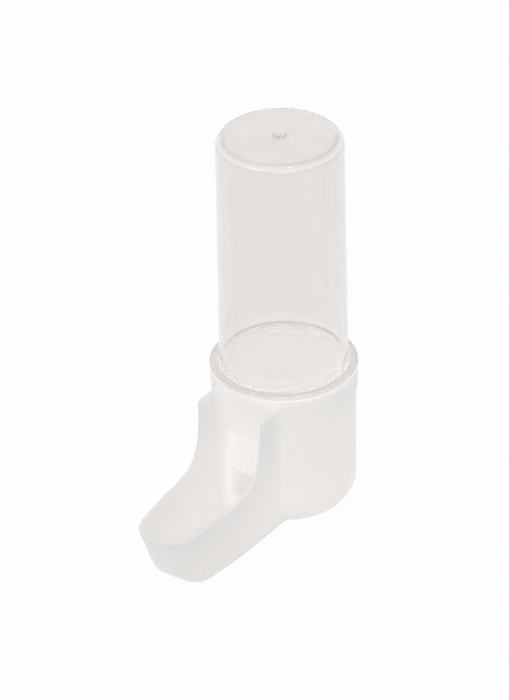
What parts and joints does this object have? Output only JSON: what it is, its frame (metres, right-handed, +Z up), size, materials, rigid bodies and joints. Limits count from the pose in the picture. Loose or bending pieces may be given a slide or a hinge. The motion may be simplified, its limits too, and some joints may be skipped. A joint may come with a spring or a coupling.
{
  "type": "bird cage drinker",
  "caption": "Siphon drinker for a bird cage: a clear closed tube stands upside down in a white cup, and water feeds an open trough in front.",
  "frame": {"origin": "on the tube's axis at the base's flat underside", "axes": "+Z up along the tube, -Y forwards along the trough, +X to the right seen from behind the trough's lip"},
  "size_m": [0.0448, 0.0915, 0.126],
  "materials": {
    "clear_plastic": "clear, polished",
    "white_plastic": "satin, slightly translucent"
  },
  "bodies": {
    "base": {"trough_base": "white_plastic"},
    "tube": {"reservoir_tube": "clear_plastic"}
  },
  "joints": [
    {"name": "tube_lift", "type": "slide", "parent": "base", "child": "tube", "axis": [0, 0, 1], "range_m": [0, 0.034]}
  ]
}
